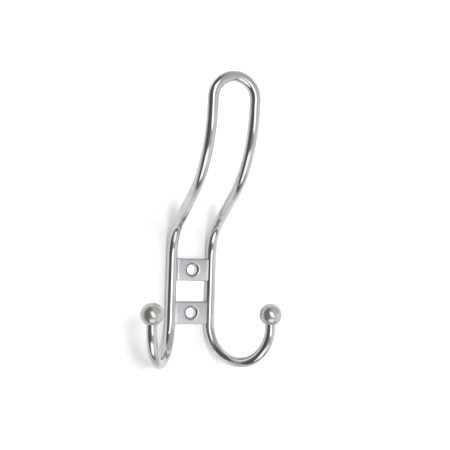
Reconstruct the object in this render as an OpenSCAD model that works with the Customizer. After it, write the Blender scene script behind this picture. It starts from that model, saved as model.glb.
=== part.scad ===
// Double coat and hat hook for a wall.
// One bent wire makes the hat loop, the two legs and the two coat hooks.
// Two drilled plates tie the legs together and a ball closes each coat hook.
//
// Frame: +Z up, +X to the right as seen by someone facing the wall.
// The wall is the plane Y = 0 and the hook stands out from it towards -Y.
// The origin lies on the wall, midway between the two screw holes.
// All lengths are in millimetres and all angles in degrees.

/* [Wire] */
// Diameter of the round wire
wire_d = 6; // [5:0.5:7]
// Distance between the centre lines of the two legs
leg_spacing = 24; // [20:1:30]
// Height of the top of the straight legs above the origin
leg_top = 20.5; // [19:0.5:40]
// Depth of the bottom of the straight legs below the origin
leg_bottom = 18; // [18:0.5:40]

/* [Hat loop] */
// Radius of the bend that takes the wire away from the wall
lower_bend_r = 24; // [15:1:40]
// Angle of the rising stretch, measured from the wall
rise_angle = 55.5; // [30:0.5:70]
// Length of the straight rising stretch
rise_length = 27; // [5:1:60]
// Radius of the bend that turns the wire up again
upper_bend_r = 58; // [20:1:90]
// Angle that the loop keeps from the wall
loop_lean = 3; // [0:0.5:20]
// Straight stretch below the round top of the loop
loop_straight = 4.5; // [1:0.5:30]

/* [Coat hooks] */
// Angle of each coat hook, measured sideways from straight ahead
hook_splay = 32; // [20:1:60]
// Radius of the coat hook's half circle
hook_r = 21.5; // [14:0.5:30]
// Straight stretch between the half circle and the ball
hook_tip = 1.5; // [0.5:0.5:15]

/* [Balls] */
// Diameter of the balls
ball_d = 12.7; // [10:0.1:18]
// Diameter of the tenon turned on each end of the wire
tenon_d = 4; // [3:0.1:4.5]
// Length of the tenon
tenon_length = 5; // [3:0.5:6]

/* [Plates] */
// Height of each screw plate
plate_height = 13; // [11:0.5:16]
// Thickness of each screw plate
plate_thickness = 5; // [4.6:0.1:5.5]
// Radius on the plate's long front edges
plate_edge_r = 0.8; // [0.3:0.1:1.2]
// Distance between the two screw holes
hole_pitch = 25; // [20:0.5:40]
// Diameter of the screw holes
hole_d = 6.2; // [4:0.1:6.5]
// Diameter of the bevel round each screw hole
bevel_d = 8; // [7:0.1:9]

/* [Hidden] */

$fn = 96;
edge_steps = 5;

wire_r = wire_d / 2;
ball_r = ball_d / 2;
leg_x = leg_spacing / 2;
leg_y = -wire_r;
leg_length = leg_bottom + leg_top;

// The ball sits on the wire's end face, on a flat of the wire's own diameter
ball_seat = sqrt(ball_r * ball_r - wire_r * wire_r);
bore_relief = 0.3;

// Half the plate's length: its front corners lie on the wire's surface
plate_reach = leg_x - sqrt(wire_r * wire_r - pow(plate_thickness - wire_r, 2));

// Reach of a cutting shape past the face that it cuts
cut = 1;

// The wire draws down by a hair in its bends, and each straight laps over them
bend_d = wire_d - 0.02;
overlap = 0.2;

// A straight piece of wire that starts at the origin and runs up +Z.
// It laps a little way over the bends at its two ends.
// Its children go on from its far end.
module straight(length, lap = overlap) {
    translate([0, 0, -overlap])
        cylinder(h = overlap + length + lap, d = wire_d);
    translate([0, 0, length])
        children();
}

// A bent piece of wire that starts at the origin, heading up +Z, and turns
// towards -Y through the angle. Its children go on from its far end.
module bend(radius, angle) {
    translate([0, -radius, 0]) {
        rotate([90, 0, 90])
            rotate_extrude(angle = angle)
                translate([radius, 0])
                    circle(d = bend_d);
        rotate([angle, 0, 0])
            translate([0, radius, 0])
                children();
    }
}

// Turns the next bend sideways about the wire's own axis
module turn(angle) {
    rotate([0, 0, angle])
        children();
}

// Places a piece at the bottom of the right leg
module at_leg() {
    translate([leg_x, leg_y, -leg_bottom])
        children();
}

// Places a piece at the centre of the right ball
module at_ball() {
    at_leg()
        rotate([0, 0, hook_splay])
            translate([0, -2 * hook_r, hook_tip + ball_seat])
                children();
}

// The wire from the foot of a leg up to the foot of the hat loop.
// Its children go on from there.
module rising_side() {
    straight(leg_length)
        bend(lower_bend_r, rise_angle)
            straight(rise_length)
                turn(180)
                    bend(upper_bend_r, rise_angle - loop_lean)
                        straight(loop_straight)
                            children();
}

// The same bends in the opposite order, from the loop down to the other foot
module falling_side() {
    straight(loop_straight)
        turn(180)
            bend(upper_bend_r, rise_angle - loop_lean)
                turn(180)
                    straight(rise_length)
                        bend(lower_bend_r, rise_angle)
                            straight(leg_length)
                                children();
}

// Coat hook with the tenon that holds its ball
module coat_hook() {
    bend(hook_r, 180)
        straight(hook_tip, 0)
            translate([0, 0, -overlap])
                cylinder(h = overlap + tenon_length, d = tenon_d);
}

// One bent wire, from the foot of the right leg over the hat loop to the left
// coat hook, with the right coat hook going on from its other end
module wire_frame() {
    color([0.78, 0.78, 0.80])
        at_leg() {
            rising_side()
                turn(90)
                    bend(leg_x, 180)
                        turn(90)
                            falling_side()
                                turn(hook_splay)
                                    coat_hook();
            turn(hook_splay)
                rotate([0, 180, 0])
                    coat_hook();
        }
}

// Ball with a flat seat and a blind bore for the tenon
module ball() {
    difference() {
        sphere(d = ball_d);
        translate([0, 0, -ball_seat - ball_r])
            cylinder(h = ball_r, d = ball_d);
        translate([0, 0, -ball_seat - cut])
            cylinder(h = tenon_length + bore_relief + cut, d = tenon_d);
    }
}

module right_ball() {
    color([0.80, 0.78, 0.76])
        at_ball()
            ball();
}

module left_ball() {
    color([0.80, 0.78, 0.76])
        mirror([1, 0, 0])
            at_ball()
                ball();
}

// Section of the plate as [Y, Z], its long front edges rounded
function plate_corner(z_sign) = [
    for (i = [0 : edge_steps])
        let (a = 90 * (z_sign > 0 ? i : edge_steps - i) / edge_steps)
            [
                -plate_thickness + plate_edge_r * (1 - sin(a)),
                z_sign * (plate_height / 2 - plate_edge_r * (1 - cos(a)))
            ]
];

module plate_section() {
    polygon(concat(
        [[0, -plate_height / 2], [0, plate_height / 2]],
        plate_corner(1),
        plate_corner(-1)
    ));
}

// Screw plate centred on its hole, its ends hollowed to fit the legs
module plate() {
    difference() {
        translate([-plate_reach, 0, 0])
            rotate([90, 0, 90])
                linear_extrude(height = 2 * plate_reach)
                    plate_section();
        for (side = [-1, 1])
            translate([side * leg_x, leg_y, -plate_height / 2 - cut])
                cylinder(h = plate_height + 2 * cut, d = wire_d);
        screw_hole();
    }
}

// Straight hole with a bevelled mouth at the plate's front face
module screw_hole() {
    bevel_depth = (bevel_d - hole_d) / 2;
    rotate([90, 0, 0]) {
        translate([0, 0, -cut])
            cylinder(h = plate_thickness + 2 * cut, d = hole_d);
        translate([0, 0, plate_thickness - bevel_depth])
            cylinder(h = bevel_depth + cut, d1 = hole_d, d2 = bevel_d + 2 * cut);
    }
}

module upper_plate() {
    color([0.70, 0.70, 0.71])
        translate([0, 0, hole_pitch / 2])
            plate();
}

module lower_plate() {
    color([0.70, 0.70, 0.71])
        translate([0, 0, -hole_pitch / 2])
            plate();
}

wire_frame();
left_ball();
right_ball();
upper_plate();
lower_plate();
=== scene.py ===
"""Wall hook rack: looks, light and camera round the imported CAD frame."""
import math

import bmesh
import bpy
from mathutils import Matrix, Vector


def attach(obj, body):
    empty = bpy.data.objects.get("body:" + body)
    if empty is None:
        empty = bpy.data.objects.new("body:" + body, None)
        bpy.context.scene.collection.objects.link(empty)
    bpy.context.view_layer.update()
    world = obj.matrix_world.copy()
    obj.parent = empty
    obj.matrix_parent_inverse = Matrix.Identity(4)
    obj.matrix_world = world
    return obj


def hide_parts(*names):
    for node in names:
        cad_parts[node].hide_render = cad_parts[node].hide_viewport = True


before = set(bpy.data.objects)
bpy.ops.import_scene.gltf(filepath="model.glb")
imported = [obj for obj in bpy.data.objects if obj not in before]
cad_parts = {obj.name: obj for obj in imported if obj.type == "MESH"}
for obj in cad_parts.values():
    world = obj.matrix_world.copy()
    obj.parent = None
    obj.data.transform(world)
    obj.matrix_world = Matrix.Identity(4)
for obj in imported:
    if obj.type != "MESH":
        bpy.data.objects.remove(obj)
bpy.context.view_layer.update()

MM = 0.001

# ---------------------------------------------------------------- dimensions
# The CAD model's driving dimensions, in millimetres and degrees.
WIRE_R = 3.0
LEG_X = 12.0
LEG_TOP = 20.5
LEG_BOTTOM = -18.0
LOWER_BEND_R = 24.0
RISE_ANGLE = 55.5
RISE_LENGTH = 27.0
UPPER_BEND_R = 58.0
LOOP_LEAN = 3.0
LOOP_STRAIGHT = 4.5
HOOK_SPLAY = 32.0
HOOK_R = 21.5
HOOK_TIP = 1.5
BALL_R = 6.35
BALL_SEAT = math.sqrt(BALL_R ** 2 - WIRE_R ** 2)
PLATE_DEPTH = 5.0
PLATE_HALF_HEIGHT = 6.5
HOLE_R = 3.1
BEVEL_R = 4.0
HOLE_Z = {"upper_plate": 12.5, "lower_plate": -12.5}


# ------------------------------------------------------------------ camera
CAMERA_AZIMUTH = -22.05
CAMERA_ELEVATION = -1.17
CAMERA_ROLL = 1.76
CAMERA_DISTANCE = 0.5728
CAMERA_TARGET = Vector((0.0215, 0.0, 0.0393))
CAMERA_LENS = 77.06
SENSOR = 36.0


def direction(azimuth, elevation):
    """Unit vector out from the wall: azimuth 0 is straight ahead, + is to the right."""
    a, e = math.radians(azimuth), math.radians(elevation)
    return Vector((math.sin(a) * math.cos(e), -math.cos(a) * math.cos(e), math.sin(e)))


def make_camera():
    data = bpy.data.cameras.new("camera")
    data.sensor_width = SENSOR
    data.lens = CAMERA_LENS
    data.clip_start = 0.01
    data.clip_end = 20.0
    camera = bpy.data.objects.new("camera", data)
    bpy.context.scene.collection.objects.link(camera)
    back = direction(CAMERA_AZIMUTH, CAMERA_ELEVATION)
    turn = (-back).to_track_quat("-Z", "Y").to_matrix()
    roll = Matrix.Rotation(math.radians(CAMERA_ROLL), 3, "Z")
    camera.matrix_world = (turn @ roll).to_4x4()
    camera.location = CAMERA_TARGET + back * CAMERA_DISTANCE
    bpy.context.scene.camera = camera


make_camera()


# ---------------------------------------------------------------- node help
def node_tree(material):
    material.use_nodes = True
    tree = material.node_tree
    tree.nodes.clear()
    return tree


def add(tree, kind, **inputs):
    """Adds a node and sets its inputs: a value is stored, a socket is linked."""
    node = tree.nodes.new(kind)
    for name, value in inputs.items():
        key = int(name[1:]) if name[0] == "_" and name[1:].isdigit() else name.replace("_", " ")
        if isinstance(value, bpy.types.NodeSocket):
            tree.links.new(value, node.inputs[key])
        else:
            node.inputs[key].default_value = value
    return node


def calc(tree, operation, a, b=0.0, c=0.0):
    node = add(tree, "ShaderNodeMath", _0=a, _1=b, _2=c)
    node.operation = operation
    return node.outputs[0]


def ramp(tree, value, low, high, out_low, out_high):
    """Maps low..high smoothly to out_low..out_high, held flat outside."""
    node = add(
        tree, "ShaderNodeMapRange", Value=value, From_Min=low, From_Max=high,
        To_Min=out_low, To_Max=out_high,
    )
    node.interpolation_type = "SMOOTHSTEP"
    return node.outputs[0]


def blend_colours(tree, factor, first, second):
    """Goes from first to second with the factor; first is a colour or a colour socket."""
    node = tree.nodes.new("ShaderNodeMix")
    node.data_type = "RGBA"
    tree.links.new(factor, node.inputs["Factor"])
    if isinstance(first, bpy.types.NodeSocket):
        tree.links.new(first, node.inputs["A"])
    else:
        node.inputs["A"].default_value = (*first, 1)
    node.inputs["B"].default_value = (*second, 1)
    return node.outputs["Result"]


# ------------------------------------------------------------------- world
# Brightness of each part of the studio, 1 being the white wall.
LEVEL_UPPER = 0.57
LEVEL_RIGHT = 0.92
LEVEL_DARK = 0.13
LEVEL_KEY = 1.95
LEVEL_LOW = 1.5
LEVEL_FLOOR = 0.16
LEVEL_CORNER = 0.34
# Where each change of level starts and ends: azimuth or elevation in degrees.
RIGHT_AZIMUTH = (5.0, 62.0)
RIGHT_ELEVATION = (2.0, 22.0)
DARK_AZIMUTH = (-48.0, 13.0)
DARK_ELEVATION = (62.0, 84.0)
FLOOR_ELEVATION = (-80.0, -76.0)
# Panels: centre and half size (azimuth, elevation), slant, soft edge, flare.
KEY_PANEL = ((-10, 6), (17, 27), -0.52, 4)
LOW_PANEL = ((-12, -60), (44, 19), 0.0, 5, 0.5)
CORNER_PANEL = ((72, -66), (26, 14), 0.0, 9)
# Dim parts of the studio are a little warm, bright ones neutral.
WARM_TINT = (1.0, 0.96, 0.92)
NEUTRAL_TINT = (0.99, 0.99, 1.0)
TINT_LEVELS = (0.1, 0.8)


def make_world():
    """The studio that the chrome reflects; the camera itself sees plain white.

    Dark on the left, a slanted soft light ahead, pale on the right, a wide low light.
    """
    world = bpy.data.worlds.new("studio")
    bpy.context.scene.world = world
    world.use_nodes = True
    tree = world.node_tree
    tree.nodes.clear()
    place = add(tree, "ShaderNodeTexCoord").outputs["Generated"]
    x, y, z = add(tree, "ShaderNodeSeparateXYZ", Vector=place).outputs
    azimuth = calc(tree, "DEGREES", calc(tree, "ARCTAN2", x, calc(tree, "MULTIPLY", y, -1.0)))
    elevation = calc(tree, "DEGREES", calc(tree, "ARCSINE", z))

    def over(under, mask, level):
        """Lays a level over what is under it, by the mask."""
        lift = calc(tree, "SUBTRACT", level, under)
        return calc(tree, "MULTIPLY_ADD", mask, lift, under)

    def both(first, second):
        return calc(tree, "MULTIPLY", first, second)

    def panel(centre, half, slant, soft, flare=0.0):
        """Soft-edged panel; slant leans it over and flare widens it downwards."""
        rise = calc(tree, "SUBTRACT", elevation, centre[1])
        shift = calc(tree, "MULTIPLY_ADD", rise, slant, centre[0])
        across = calc(tree, "ABSOLUTE", calc(tree, "SUBTRACT", azimuth, shift))
        across = calc(tree, "MULTIPLY_ADD", rise, flare, across)
        wide = ramp(tree, across, half[0] - soft, half[0] + soft, 1.0, 0.0)
        high = calc(tree, "ABSOLUTE", rise)
        tall = ramp(tree, high, half[1] - soft, half[1] + soft, 1.0, 0.0)
        return both(wide, tall)

    right = ramp(tree, azimuth, *RIGHT_AZIMUTH, 0.0, 1.0)
    below_right = ramp(tree, elevation, *RIGHT_ELEVATION, 1.0, 0.0)
    level = over(LEVEL_UPPER, both(right, below_right), LEVEL_RIGHT)
    level = over(level, panel(*CORNER_PANEL), LEVEL_CORNER)
    left = ramp(tree, azimuth, *DARK_AZIMUTH, 1.0, 0.0)
    below_top = ramp(tree, elevation, *DARK_ELEVATION, 1.0, 0.0)
    level = over(level, both(left, below_top), LEVEL_DARK)
    level = over(level, panel(*LOW_PANEL), LEVEL_LOW)
    level = over(level, ramp(tree, elevation, *FLOOR_ELEVATION, 1.0, 0.0), LEVEL_FLOOR)
    level = over(level, panel(*KEY_PANEL), LEVEL_KEY)
    lightness = ramp(tree, level, *TINT_LEVELS, 0.0, 1.0)
    tint = blend_colours(tree, lightness, WARM_TINT, NEUTRAL_TINT)
    studio = add(tree, "ShaderNodeBackground", Color=tint, Strength=level)
    plain = add(tree, "ShaderNodeBackground", Color=(1, 1, 1, 1), Strength=1.0)
    seen = add(tree, "ShaderNodeLightPath").outputs["Is Camera Ray"]
    mix = add(tree, "ShaderNodeMixShader", _0=seen, _1=studio.outputs[0], _2=plain.outputs[0])
    out = tree.nodes.new("ShaderNodeOutputWorld")
    tree.links.new(mix.outputs[0], out.inputs[0])


make_world()


# ------------------------------------------------------------ wall and lamps
WALL_HALF = 0.8
WALL_GAP = 0.0001
WALL_GLOW = 0.12
# painted light: extra glow of the wall in the patches below
PAINTED_LIGHT_GLOW = 0.35
WALL_PAINT = (0.8, 0.8, 0.805)
# painted shade: grey the wall turns for reflections
PAINTED_SHADE_GREY = (0.25, 0.25, 0.25)
# Share of painted shade on the wall that every ray but the camera's sees: all far left, less
# low down.
DIM_LEFT = (-20 * MM, -240 * MM)
DIM_DOWN = (-44 * MM, -110 * MM)
DIM_DOWN_SHARE = 0.62
DIM_LEAST = 0.18
# x from, x to, z from, z to and soft edge, in mm: where the wall glows for the camera, a
# painted light that washes out the cast shadows
PAINTED_LIGHT_PATCHES = (
    (-9.5, 9.5, -19.0, 18.5, 0.6),
    (24.0, 900.0, -900.0, 900.0, 6.0),
    (-900.0, 900.0, 53.0, 900.0, 8.0),
    (-900.0, -30.0, -15.0, 900.0, 6.0),
    (-900.0, -62.0, -900.0, 900.0, 8.0),
    (-900.0, 900.0, -900.0, -62.0, 8.0),
)
# the same behind the plates, where the glow lights the holes and the backs as well
PLATE_PATCHES = ((-9.5, 9.5, 6.5, 18.5, 0.4), (-9.5, 9.5, -18.5, -6.5, 0.4))


def wall_patch(tree, x, z, left, right, low, high, soft):
    """Mask of a soft-edged rectangle on the wall."""
    mask = None
    for value, start, end in ((x, left, right), (z, low, high)):
        rise = ramp(tree, value, (start - soft) * MM, (start + soft) * MM, 0.0, 1.0)
        fall = ramp(tree, value, (end - soft) * MM, (end + soft) * MM, 1.0, 0.0)
        band = calc(tree, "MULTIPLY", rise, fall)
        mask = band if mask is None else calc(tree, "MULTIPLY", mask, band)
    return mask


def any_patch(tree, x, z, patches):
    """Mask of all the patches together."""
    mask = wall_patch(tree, x, z, *patches[0])
    for patch in patches[1:]:
        mask = calc(tree, "MAXIMUM", mask, wall_patch(tree, x, z, *patch))
    return mask


def make_wall():
    """White wall just behind the object, see-through from behind, with painted glow in patches
    that hides cast shadows and painted shade in reflections.
    """
    mesh = bpy.data.meshes.new("wall")
    h = WALL_HALF
    corners = [(-h, WALL_GAP, -h), (h, WALL_GAP, -h), (h, WALL_GAP, h), (-h, WALL_GAP, h)]
    mesh.from_pydata(corners, [], [(0, 1, 2, 3)])
    wall = bpy.data.objects.new("wall", mesh)
    bpy.context.scene.collection.objects.link(wall)
    material = bpy.data.materials.new("wall_paint")
    tree = node_tree(material)
    place = add(tree, "ShaderNodeTexCoord").outputs["Object"]
    x, y, z = add(tree, "ShaderNodeSeparateXYZ", Vector=place).outputs
    seen = add(tree, "ShaderNodeLightPath").outputs["Is Camera Ray"]
    # painted light: the camera sees the wall glow in the patches, hiding the cast shadows there
    painted_light = calc(tree, "MULTIPLY", any_patch(tree, x, z, PAINTED_LIGHT_PATCHES), seen)
    extra = calc(tree, "MAXIMUM", painted_light, any_patch(tree, x, z, PLATE_PATCHES))
    glow = calc(tree, "MULTIPLY_ADD", extra, PAINTED_LIGHT_GLOW, WALL_GLOW)
    # painted shade: the wall turns darker for every ray but the camera's, far left and low down
    far_left = ramp(tree, x, *DIM_LEFT, 0.0, 1.0)
    far_down = ramp(tree, z, *DIM_DOWN, 0.0, 1.0)
    dim = calc(tree, "MAXIMUM", far_left, calc(tree, "MULTIPLY", far_down, DIM_DOWN_SHARE))
    dim = calc(tree, "MAXIMUM", dim, DIM_LEAST)
    dim = calc(tree, "MULTIPLY", dim, calc(tree, "SUBTRACT", 1.0, seen))
    shade = blend_colours(tree, dim, WALL_PAINT, PAINTED_SHADE_GREY)
    paint = add(tree, "ShaderNodeBsdfDiffuse", Color=shade)
    light = add(tree, "ShaderNodeEmission", Color=(1, 1, 1, 1), Strength=glow)
    lit = add(tree, "ShaderNodeAddShader", _0=paint.outputs[0], _1=light.outputs[0])
    clear = tree.nodes.new("ShaderNodeBsdfTransparent")
    back = add(tree, "ShaderNodeNewGeometry").outputs["Backfacing"]
    mix = add(tree, "ShaderNodeMixShader", _0=back, _1=lit.outputs[0], _2=clear.outputs[0])
    out = tree.nodes.new("ShaderNodeOutputMaterial")
    tree.links.new(mix.outputs[0], out.inputs[0])
    mesh.materials.append(material)


def make_lamp(name, azimuth, elevation, size, watts):
    """Soft lamp a metre off that shades the wall; the chrome sees the studio instead."""
    data = bpy.data.lights.new(name, "AREA")
    data.shape = "DISK"
    data.size = size
    data.energy = watts
    lamp = bpy.data.objects.new(name, data)
    bpy.context.scene.collection.objects.link(lamp)
    back = direction(azimuth, elevation)
    lamp.location = back
    lamp.rotation_euler = (-back).to_track_quat("-Z", "Y").to_euler()
    lamp.visible_glossy = False
    lamp.visible_camera = False


make_wall()
make_lamp("front_lamp", azimuth=-3, elevation=4, size=0.26, watts=3.3)
make_lamp("side_lamp", azimuth=46, elevation=4, size=0.9, watts=3.0)


# ---------------------------------------------------------------- materials
GRAIN_ROUGHNESS = 0.015
RIPPLE_HEIGHT = 0.000006
SATIN_PALE = (0.71, 0.715, 0.73)
SATIN_DULL = (0.645, 0.65, 0.665)
# painted shade: the plates are darker towards their top edges
SATIN_TOP_SHADE = (0.54, 0.545, 0.56)
# painted shade: colour of the darkened bevel round each screw hole
SATIN_HOLE_SHADE = (0.36, 0.36, 0.36)
SATIN_ROUGHNESS = (0.24, 0.31)
SATIN_GRAIN_ROUGHNESS = 0.06
SATIN_GRAIN_HEIGHT = 0.00003
# distance from a hole's axis over which the painted shade on the bevel fades, and depth over
# which it starts
HOLE_SHADE_RING = (3.9 * MM, 4.25 * MM)
HOLE_SHADE_DEPTH = (-3.9 * MM, -4.2 * MM)
HOLE_SHADE_INSIDE = 0.1
# heights from a plate's middle over which painted shade darkens the plate towards its top, and
# how far this wanders
TOP_SHADE_HEIGHT = (-4.0 * MM, 9.0 * MM)
TOP_SHADE_WANDER = 5.0 * MM


def finish_tree(material, colour, roughness, bump_height, bump_distance, metal=1.0):
    """Joins colour, roughness and bump to a metallic surface."""
    tree = material.node_tree
    shader = add(tree, "ShaderNodeBsdfPrincipled", Metallic=metal)
    for name, value in (("Base Color", colour), ("Roughness", roughness)):
        tree.links.new(value, shader.inputs[name])
    bump = add(tree, "ShaderNodeBump", Height=bump_height, Distance=bump_distance, Strength=1.0)
    tree.links.new(bump.outputs[0], shader.inputs["Normal"])
    out = tree.nodes.new("ShaderNodeOutputMaterial")
    tree.links.new(shader.outputs[0], out.inputs[0])


def noise(tree, place, scale, detail=3.0, rough=0.5):
    node = add(
        tree, "ShaderNodeTexNoise", Vector=place, Scale=scale, Detail=detail, Roughness=rough
    )
    return node.outputs[0]


def make_chrome(name, pale, dull, rough_low, rough_high, metal):
    """Bright plating with faint haze, fine rubbing marks and a slight ripple."""
    material = bpy.data.materials.new(name)
    tree = node_tree(material)
    place = add(tree, "ShaderNodeTexCoord").outputs["Object"]
    haze = ramp(tree, noise(tree, place, 90.0, 4.0), 0.38, 0.68, 0.0, 1.0)
    grain = noise(tree, place, 2600.0, 2.0)
    colour = blend_colours(tree, haze, pale, dull)
    rough = calc(tree, "ADD", ramp(tree, haze, 0.0, 1.0, rough_low, rough_high),
                 calc(tree, "MULTIPLY", grain, GRAIN_ROUGHNESS))
    ripple = noise(tree, place, 260.0, 1.0)
    finish_tree(material, colour, rough, ripple, RIPPLE_HEIGHT, metal)
    return material


def hole_painted_shade(tree, place):
    """Mask of painted shade that darkens the bevel round either screw hole."""
    x, y, z = add(tree, "ShaderNodeSeparateXYZ", Vector=place).outputs
    from_hole = calc(tree, "SUBTRACT", calc(tree, "ABSOLUTE", z), HOLE_Z["upper_plate"] * MM)
    square = calc(tree, "MULTIPLY", from_hole, from_hole)
    reach = calc(tree, "SQRT", calc(tree, "MULTIPLY_ADD", x, x, square))
    ring = ramp(tree, reach, *HOLE_SHADE_RING, 1.0, 0.0)
    front = ramp(tree, y, *HOLE_SHADE_DEPTH, HOLE_SHADE_INSIDE, 1.0)
    return calc(tree, "MULTIPLY", ring, front)


def top_painted_shade(tree, place):
    """Mask of painted shade that grows towards the top edge of either plate."""
    z = add(tree, "ShaderNodeSeparateXYZ", Vector=place).outputs["Z"]
    side = calc(tree, "SIGN", z)
    middle = calc(tree, "MULTIPLY", side, -HOLE_Z["upper_plate"] * MM)
    local = calc(tree, "ADD", z, middle)
    patchy = noise(tree, place, 420.0, 2.0)
    drift = calc(tree, "MULTIPLY_ADD", patchy, TOP_SHADE_WANDER, local)
    return ramp(tree, drift, *TOP_SHADE_HEIGHT, 0.0, 1.0)


def make_satin(name):
    """Satin plating: a fine blasted grain with soft cloudy changes of tone."""
    material = bpy.data.materials.new(name)
    tree = node_tree(material)
    place = add(tree, "ShaderNodeTexCoord").outputs["Object"]
    cloud = ramp(tree, noise(tree, place, 160.0, 4.0), 0.3, 0.7, 0.0, 1.0)
    grain = noise(tree, place, 5200.0, 3.0, 0.6)
    colour = blend_colours(tree, cloud, SATIN_PALE, SATIN_DULL)
    # painted shade darkening each plate towards its top edge
    colour = blend_colours(tree, top_painted_shade(tree, place), colour, SATIN_TOP_SHADE)
    # painted shade darkening the bevel round each screw hole
    colour = blend_colours(tree, hole_painted_shade(tree, place), colour, SATIN_HOLE_SHADE)
    rough = calc(tree, "ADD", ramp(tree, cloud, 0.0, 1.0, *SATIN_ROUGHNESS),
                 calc(tree, "MULTIPLY", grain, SATIN_GRAIN_ROUGHNESS))
    finish_tree(material, colour, rough, grain, SATIN_GRAIN_HEIGHT)
    return material


chrome = make_chrome(
    "wire_chrome", pale=(0.66, 0.66, 0.68), dull=(0.60, 0.60, 0.61),
    rough_low=0.03, rough_high=0.07, metal=1.0,
)
ball_chrome = make_chrome(
    "ball_chrome", pale=(0.60, 0.588, 0.57), dull=(0.545, 0.533, 0.515),
    rough_low=0.16, rough_high=0.21, metal=0.82,
)
satin = make_satin("plate_satin")


# -------------------------------------------------------------------- mesh
SHARP_ANGLE = math.radians(35)
WELD_DISTANCE = 1e-7
# Points round the wire and the balls, and steps along each stretch.
ROUND = 72
LEG_STEPS = 24
LOWER_BEND_STEPS = 28
RISE_STEPS = 16
UPPER_BEND_STEPS = 48
LOOP_STRAIGHT_STEPS = 4
LOOP_TOP_STEPS = 64
HOOK_STEPS = 72
TIP_STEPS = 3
BALL_STEPS = 56
# The wire's ends close on a tiny ring, this share of the wire's size.
CAP_SHARE = 0.001


def new_piece(name, points, faces, material, node):
    """Makes a piece from points in millimetres; it stands for a CAD node."""
    mesh = bpy.data.meshes.new(name)
    mesh.from_pydata([tuple(c * MM for c in p) for p in points], [], faces)
    tidy = bmesh.new()
    tidy.from_mesh(mesh)
    bmesh.ops.remove_doubles(tidy, verts=tidy.verts, dist=WELD_DISTANCE)
    bmesh.ops.recalc_face_normals(tidy, faces=tidy.faces)
    tidy.to_mesh(mesh)
    tidy.free()
    mesh.polygons.foreach_set("use_smooth", [True] * len(mesh.polygons))
    mesh.set_sharp_from_angle(angle=SHARP_ANGLE)
    mesh.materials.append(material)
    piece = bpy.data.objects.new(name, mesh)
    bpy.context.scene.collection.objects.link(piece)
    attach(piece, "root")
    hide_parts(node)
    return piece


def skin(rings, closed):
    """Quads between rings of equal length; closed joins the last ring to the first."""
    count = len(rings[0])
    points = [p for ring in rings for p in ring]
    pairs = [(i, i + 1) for i in range(len(rings) - 1)]
    if closed:
        pairs.append((len(rings) - 1, 0))
    faces = [
        (a * count + j, a * count + (j + 1) % count, b * count + (j + 1) % count, b * count + j)
        for a, b in pairs
        for j in range(count)
    ]
    return points, faces


def wire_path():
    """Centre line from the right ball over the loop to the left ball, [point, heading]."""
    spots = []
    place = Matrix.Translation((LEG_X, -WIRE_R, LEG_BOTTOM))

    def note(m):
        spots.append((m.to_translation(), m.to_3x3() @ Vector((0, 0, 1))))

    def straight(m, length, steps):
        for i in range(1, steps + 1):
            note(m @ Matrix.Translation((0, 0, length * i / steps)))
        return m @ Matrix.Translation((0, 0, length))

    def bend(m, radius, angle, steps):
        centre = m @ Matrix.Translation((0, -radius, 0))
        arm = Matrix.Translation((0, radius, 0))
        for i in range(1, steps + 1):
            note(centre @ Matrix.Rotation(math.radians(angle * i / steps), 4, "X") @ arm)
        return centre @ Matrix.Rotation(math.radians(angle), 4, "X") @ arm

    def turn(m, angle):
        return m @ Matrix.Rotation(math.radians(angle), 4, "Z")

    leg = LEG_TOP - LEG_BOTTOM
    note(place)
    m = straight(place, leg, LEG_STEPS)
    m = bend(m, LOWER_BEND_R, RISE_ANGLE, LOWER_BEND_STEPS)
    m = straight(m, RISE_LENGTH, RISE_STEPS)
    m = turn(m, 180)
    m = bend(m, UPPER_BEND_R, RISE_ANGLE - LOOP_LEAN, UPPER_BEND_STEPS)
    m = straight(m, LOOP_STRAIGHT, LOOP_STRAIGHT_STEPS)
    m = turn(m, 90)
    m = bend(m, LEG_X, 180, LOOP_TOP_STEPS)
    m = turn(m, 90)
    m = straight(m, LOOP_STRAIGHT, LOOP_STRAIGHT_STEPS)
    m = turn(m, 180)
    m = bend(m, UPPER_BEND_R, RISE_ANGLE - LOOP_LEAN, UPPER_BEND_STEPS)
    m = turn(m, 180)
    m = straight(m, RISE_LENGTH, RISE_STEPS)
    m = bend(m, LOWER_BEND_R, RISE_ANGLE, LOWER_BEND_STEPS)
    m = straight(m, leg, LEG_STEPS)
    m = turn(m, HOOK_SPLAY)
    m = bend(m, HOOK_R, 180, HOOK_STEPS)
    straight(m, HOOK_TIP, TIP_STEPS)
    # the right coat hook is the left one's mirror image, run through backwards
    tail = spots[-(HOOK_STEPS + TIP_STEPS):]
    head = [
        (Vector((-p.x, p.y, p.z)), Vector((h.x, -h.y, -h.z)))
        for p, h in reversed(tail)
    ]
    return head + spots


def make_wire():
    """Round wire swept along the centre line, closed at both ends, where the balls sit."""
    spots = wire_path()
    rings = []
    side = Vector((1, 0, 0))
    for point, heading in spots:
        side = (side - heading * side.dot(heading)).normalized()
        up = heading.cross(side)
        rings.append([
            point + (side * math.cos(a) + up * math.sin(a)) * WIRE_R
            for a in (2 * math.pi * j / ROUND for j in range(ROUND))
        ])
    first_cap, last_cap = (
        [spots[end][0] + (p - spots[end][0]) * CAP_SHARE for p in rings[end]] for end in (0, -1)
    )
    rings = [first_cap, *rings, last_cap]
    points, faces = skin(rings, False)
    count = len(rings)
    faces.append(tuple(reversed(range(ROUND))))
    faces.append(tuple((count - 1) * ROUND + j for j in range(ROUND)))
    return new_piece("wire", points, faces, chrome, "wire_frame")


def ball_centre(side):
    """Centre of the ball on the tip of the right (1) or left (-1) hook."""
    reach = 2 * HOOK_R
    splay = math.radians(HOOK_SPLAY)
    return Vector((
        side * (LEG_X + reach * math.sin(splay)),
        -WIRE_R - reach * math.cos(splay),
        LEG_BOTTOM + HOOK_TIP + BALL_SEAT,
    ))


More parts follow.
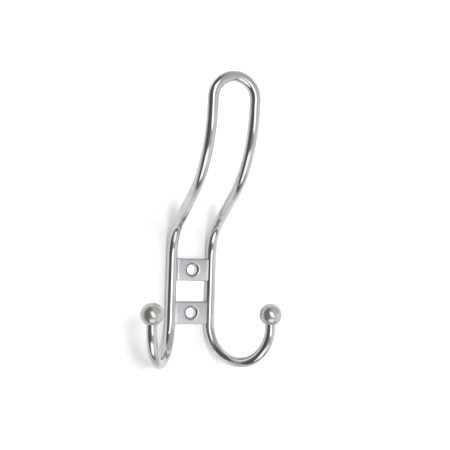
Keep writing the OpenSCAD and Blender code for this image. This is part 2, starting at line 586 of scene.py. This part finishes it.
def make_ball(name, node, side):
    """Ball with a flat seat where the wire meets it."""
    centre = ball_centre(side)
    seat_angle = math.asin(WIRE_R / BALL_R)
    rings = []
    for i in range(BALL_STEPS + 1):
        a = seat_angle + (math.pi - seat_angle) * i / BALL_STEPS
        r, z = BALL_R * math.sin(a), -BALL_R * math.cos(a)
        rings.append([
            centre + Vector((r * math.cos(t), r * math.sin(t), z))
            for t in (2 * math.pi * j / ROUND for j in range(ROUND))
        ])
    points, faces = skin(rings, False)
    faces.append(tuple(reversed(range(ROUND))))
    return new_piece(name, points, faces, ball_chrome, node)


# ------------------------------------------------------------------ plates
PLATE_POINTS = 26
PLATE_EDGE_R = 0.8
BACK_EDGE_R = 0.2
END_WIDTH = 1.6
# how far the front falls back towards the wall at the left and right ends
END_DROPS = {"upper_plate": (0.42, -0.10), "lower_plate": (0.10, 0.02)}
PLATE_HALF_WIDTH = 9.76
# the ends follow the wire up to this far from its axis, and clear it by the gap
END_REACH = WIRE_R - 0.7
END_GAP = 0.004
FACE_STEPS = 9
EDGE_STEPS = 6
SIDE_LEVELS = (-3.6, -3.0, -2.4, -1.8, -1.2, -0.7, -BACK_EDGE_R)
HOLE_DEEP_Y = -4.1
RIM_R = 5.2
# hole profile from the wall outwards: radius and depth, a bevel with an eased rim
HOLE_PROFILE = (
    (HOLE_R, 0.0),
    (HOLE_R, HOLE_DEEP_Y),
    (HOLE_R + 0.05, HOLE_DEEP_Y - 0.07),
    (3.72, -4.66),
    (BEVEL_R - 0.1, -4.79),
    (4.15, -4.885),
    (4.5, -4.965),
    (4.85, -4.993),
    (RIM_R, -PLATE_DEPTH),
)


def plate_end(y):
    """Half width of the plate where it meets the wire, at depth y."""
    off = y + WIRE_R
    if abs(off) > END_REACH:
        off = math.copysign(END_REACH, off)
    return LEG_X - math.sqrt(WIRE_R ** 2 - off ** 2) - END_GAP


def end_drop(node, x):
    """How far the front of the plate falls back towards the wall near its ends."""
    near = max(0.0, abs(x) - PLATE_HALF_WIDTH + END_WIDTH)
    left, right = END_DROPS[node]
    return (left if x < 0 else right) * (near / END_WIDTH) ** 2


def plate_outline():
    """Points round a square from -1 to 1, corners included."""
    steps = [-1 + 2 * i / PLATE_POINTS for i in range(PLATE_POINTS)]
    right = [(1, t) for t in steps]
    top = [(-t, 1) for t in steps]
    left = [(-1, -t) for t in steps]
    bottom = [(t, -1) for t in steps]
    return right + top + left + bottom


def make_plate(name, node):
    """Cross plate with eased edges, a bevelled hole and rounded ends against the wires."""
    centre_z = HOLE_Z[node]
    outline = plate_outline()

    def edge_ring(half_height, y, rise):
        """Outline at a depth; rise says how much of the ends' drop it takes."""
        ring = []
        for u, v in outline:
            deep = y + rise * end_drop(node, u * PLATE_HALF_WIDTH)
            ring.append(Vector((u * plate_end(deep), deep, v * half_height)))
        return ring

    flat = PLATE_HALF_HEIGHT - PLATE_EDGE_R
    front = edge_ring(flat, -PLATE_DEPTH, 1.0)
    turns = [math.atan2(p.z, p.x) for p in front]
    rings = [
        [Vector((r * math.cos(a), y, r * math.sin(a))) for a in turns]
        for r, y in HOLE_PROFILE
    ]
    rim = rings[-1]
    for step in range(1, FACE_STEPS):
        t = step / FACE_STEPS
        ring = [inner.lerp(outer, t) for inner, outer in zip(rim, front)]
        for p in ring:
            p.y = -PLATE_DEPTH + end_drop(node, p.x)
        rings.append(ring)
    rings.append(front)
    for step in range(1, EDGE_STEPS + 1):
        a = math.pi / 2 * step / EDGE_STEPS
        y = -PLATE_DEPTH + PLATE_EDGE_R * (1 - math.cos(a))
        rings.append(edge_ring(flat + PLATE_EDGE_R * math.sin(a), y, math.cos(a)))
    for y in SIDE_LEVELS:
        rings.append(edge_ring(PLATE_HALF_HEIGHT, y, 0.0))
    rings.append(edge_ring(PLATE_HALF_HEIGHT - BACK_EDGE_R, 0.0, 0.0))
    for ring in rings:
        for p in ring:
            p.z += centre_z
    points, faces = skin(rings, True)
    return new_piece(name, points, faces, satin, node)


make_wire()
make_ball("ball_left", "left_ball", -1)
make_ball("ball_right", "right_ball", 1)

for piece, node in (("plate_upper", "upper_plate"), ("plate_lower", "lower_plate")):
    make_plate(piece, node)

bpy.context.scene.view_settings.view_transform = "Standard"
